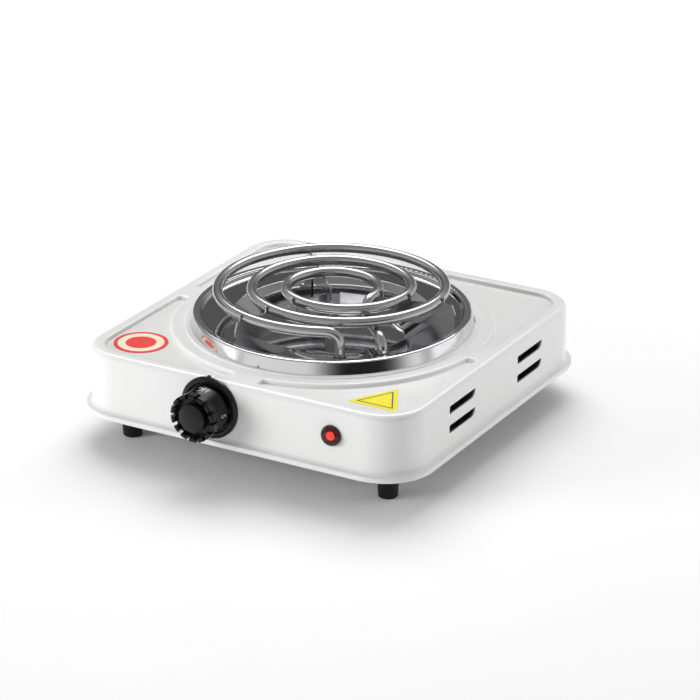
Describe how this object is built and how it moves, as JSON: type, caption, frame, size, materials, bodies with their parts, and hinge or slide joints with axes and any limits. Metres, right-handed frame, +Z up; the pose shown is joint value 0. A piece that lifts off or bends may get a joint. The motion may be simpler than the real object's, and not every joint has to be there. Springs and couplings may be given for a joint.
{
  "type": "hot plate burner",
  "caption": "Table-top hot plate: pressed-steel box on feet, spiral heating element over a stepped drip pan, chrome trim ring, front dial and pilot lamp.",
  "frame": {"origin": "on the worktop plane, under the middle of the whole box, knob and cord inlet included", "axes": "+Z up, -Y towards the user (the side with the dial and the lamp), +X to the user's right"},
  "size_m": [0.2328, 0.2558, 0.0849],
  "materials": {
    "body_paint": "white gloss enamel",
    "base_steel": "bare galvanised sheet",
    "ring_chrome": "polished chrome",
    "pan_steel": "mirror polished steel",
    "element_steel": "polished stainless tube, dark from heat",
    "support_steel": "stamped steel strip",
    "zinc_screw": "zinc plated",
    "dial_black": "semi-gloss black",
    "cap_black": "matt black",
    "foot_black": "matt black",
    "lamp_amber": "translucent orange-red",
    "lamp_white": "moulded white",
    "bulb_glass": "clear",
    "contact_brass": "bare brass",
    "ceramic": "glazed ceramic",
    "steel_part": "machined steel",
    "block_white": "moulded thermoset",
    "gland_black": "moulded nylon",
    "wire_brown": "silicone sleeve",
    "wire_blue": "silicone sleeve",
    "wire_green_yellow": "silicone sleeve",
    "label_red": "printed film",
    "label_yellow": "printed film"
  },
  "bodies": {
    "housing": {"body_shell": "body_paint", "base_plate": "base_steel", "trim_ring": "ring_chrome", "drip_pan": "pan_steel", "coil_element": "element_steel", "coil_pins": "zinc_screw", "leg_collars": "ring_chrome", "clamp_bridge": "support_steel", "clamp_screw": "zinc_screw", "coil_support": "support_steel", "support_bolt": "zinc_screw", "pan_spacer": "steel_part", "heat_shield": "base_steel", "support_nut": "zinc_screw", "foot_front_left": "foot_black", "foot_front_right": "foot_black", "foot_rear_left": "foot_black", "foot_rear_right": "foot_black", "foot_screws": "zinc_screw", "foot_nuts": "zinc_screw", "base_screws": "zinc_screw", "knob_bezel": "dial_black", "thermostat_frame": "steel_part", "thermostat_screws": "zinc_screw", "fixed_contact": "contact_brass", "bimetal_blade": "contact_brass", "ceramic_spacers": "ceramic", "stack_rivet": "steel_part", "push_on_terminals": "contact_brass", "lamp_lens": "lamp_amber", "lamp_housing": "lamp_white", "lamp_clip": "steel_part", "neon_bulb": "bulb_glass", "cord_gland": "gland_black", "gland_nut": "gland_black", "terminal_block": "block_white", "terminal_screws": "contact_brass", "earth_screw": "zinc_screw", "wire_live": "wire_brown", "wire_load": "wire_brown", "wire_neutral": "wire_blue", "wire_earth": "wire_green_yellow", "wire_lamp_live": "wire_brown", "wire_lamp_neutral": "wire_blue", "round_label": "label_red", "triangle_label": "label_yellow"},
    "dial": {"knob": "dial_black", "knob_cap": "cap_black", "spindle": "steel_part"},
    "pin": {"push_pin": "ceramic"},
    "arm": {"contact_arm": "contact_brass"}
  },
  "joints": [
    {"name": "dial_turn", "type": "hinge", "parent": "housing", "child": "dial", "pos_m": [-0.0165, -0.108, 0.043], "axis": [0, 1, 0], "range_deg": [0, 270]},
    {"name": "pin_slide", "type": "slide", "parent": "housing", "child": "pin", "axis": [0, -1, 0], "range_m": [0, 0.00121]},
    {"name": "arm_swing", "type": "hinge", "parent": "housing", "child": "arm", "pos_m": [-0.0089, -0.0832, 0.043], "axis": [0, 0, 1], "range_deg": [0, 7.9]}
  ],
  "couplings": [
    {"joint": "pin_slide", "follows": "dial_turn", "m_per_rad": 0.00025465},
    {"joint": "arm_swing", "follows": "dial_turn", "ratio": 0.028889}
  ]
}
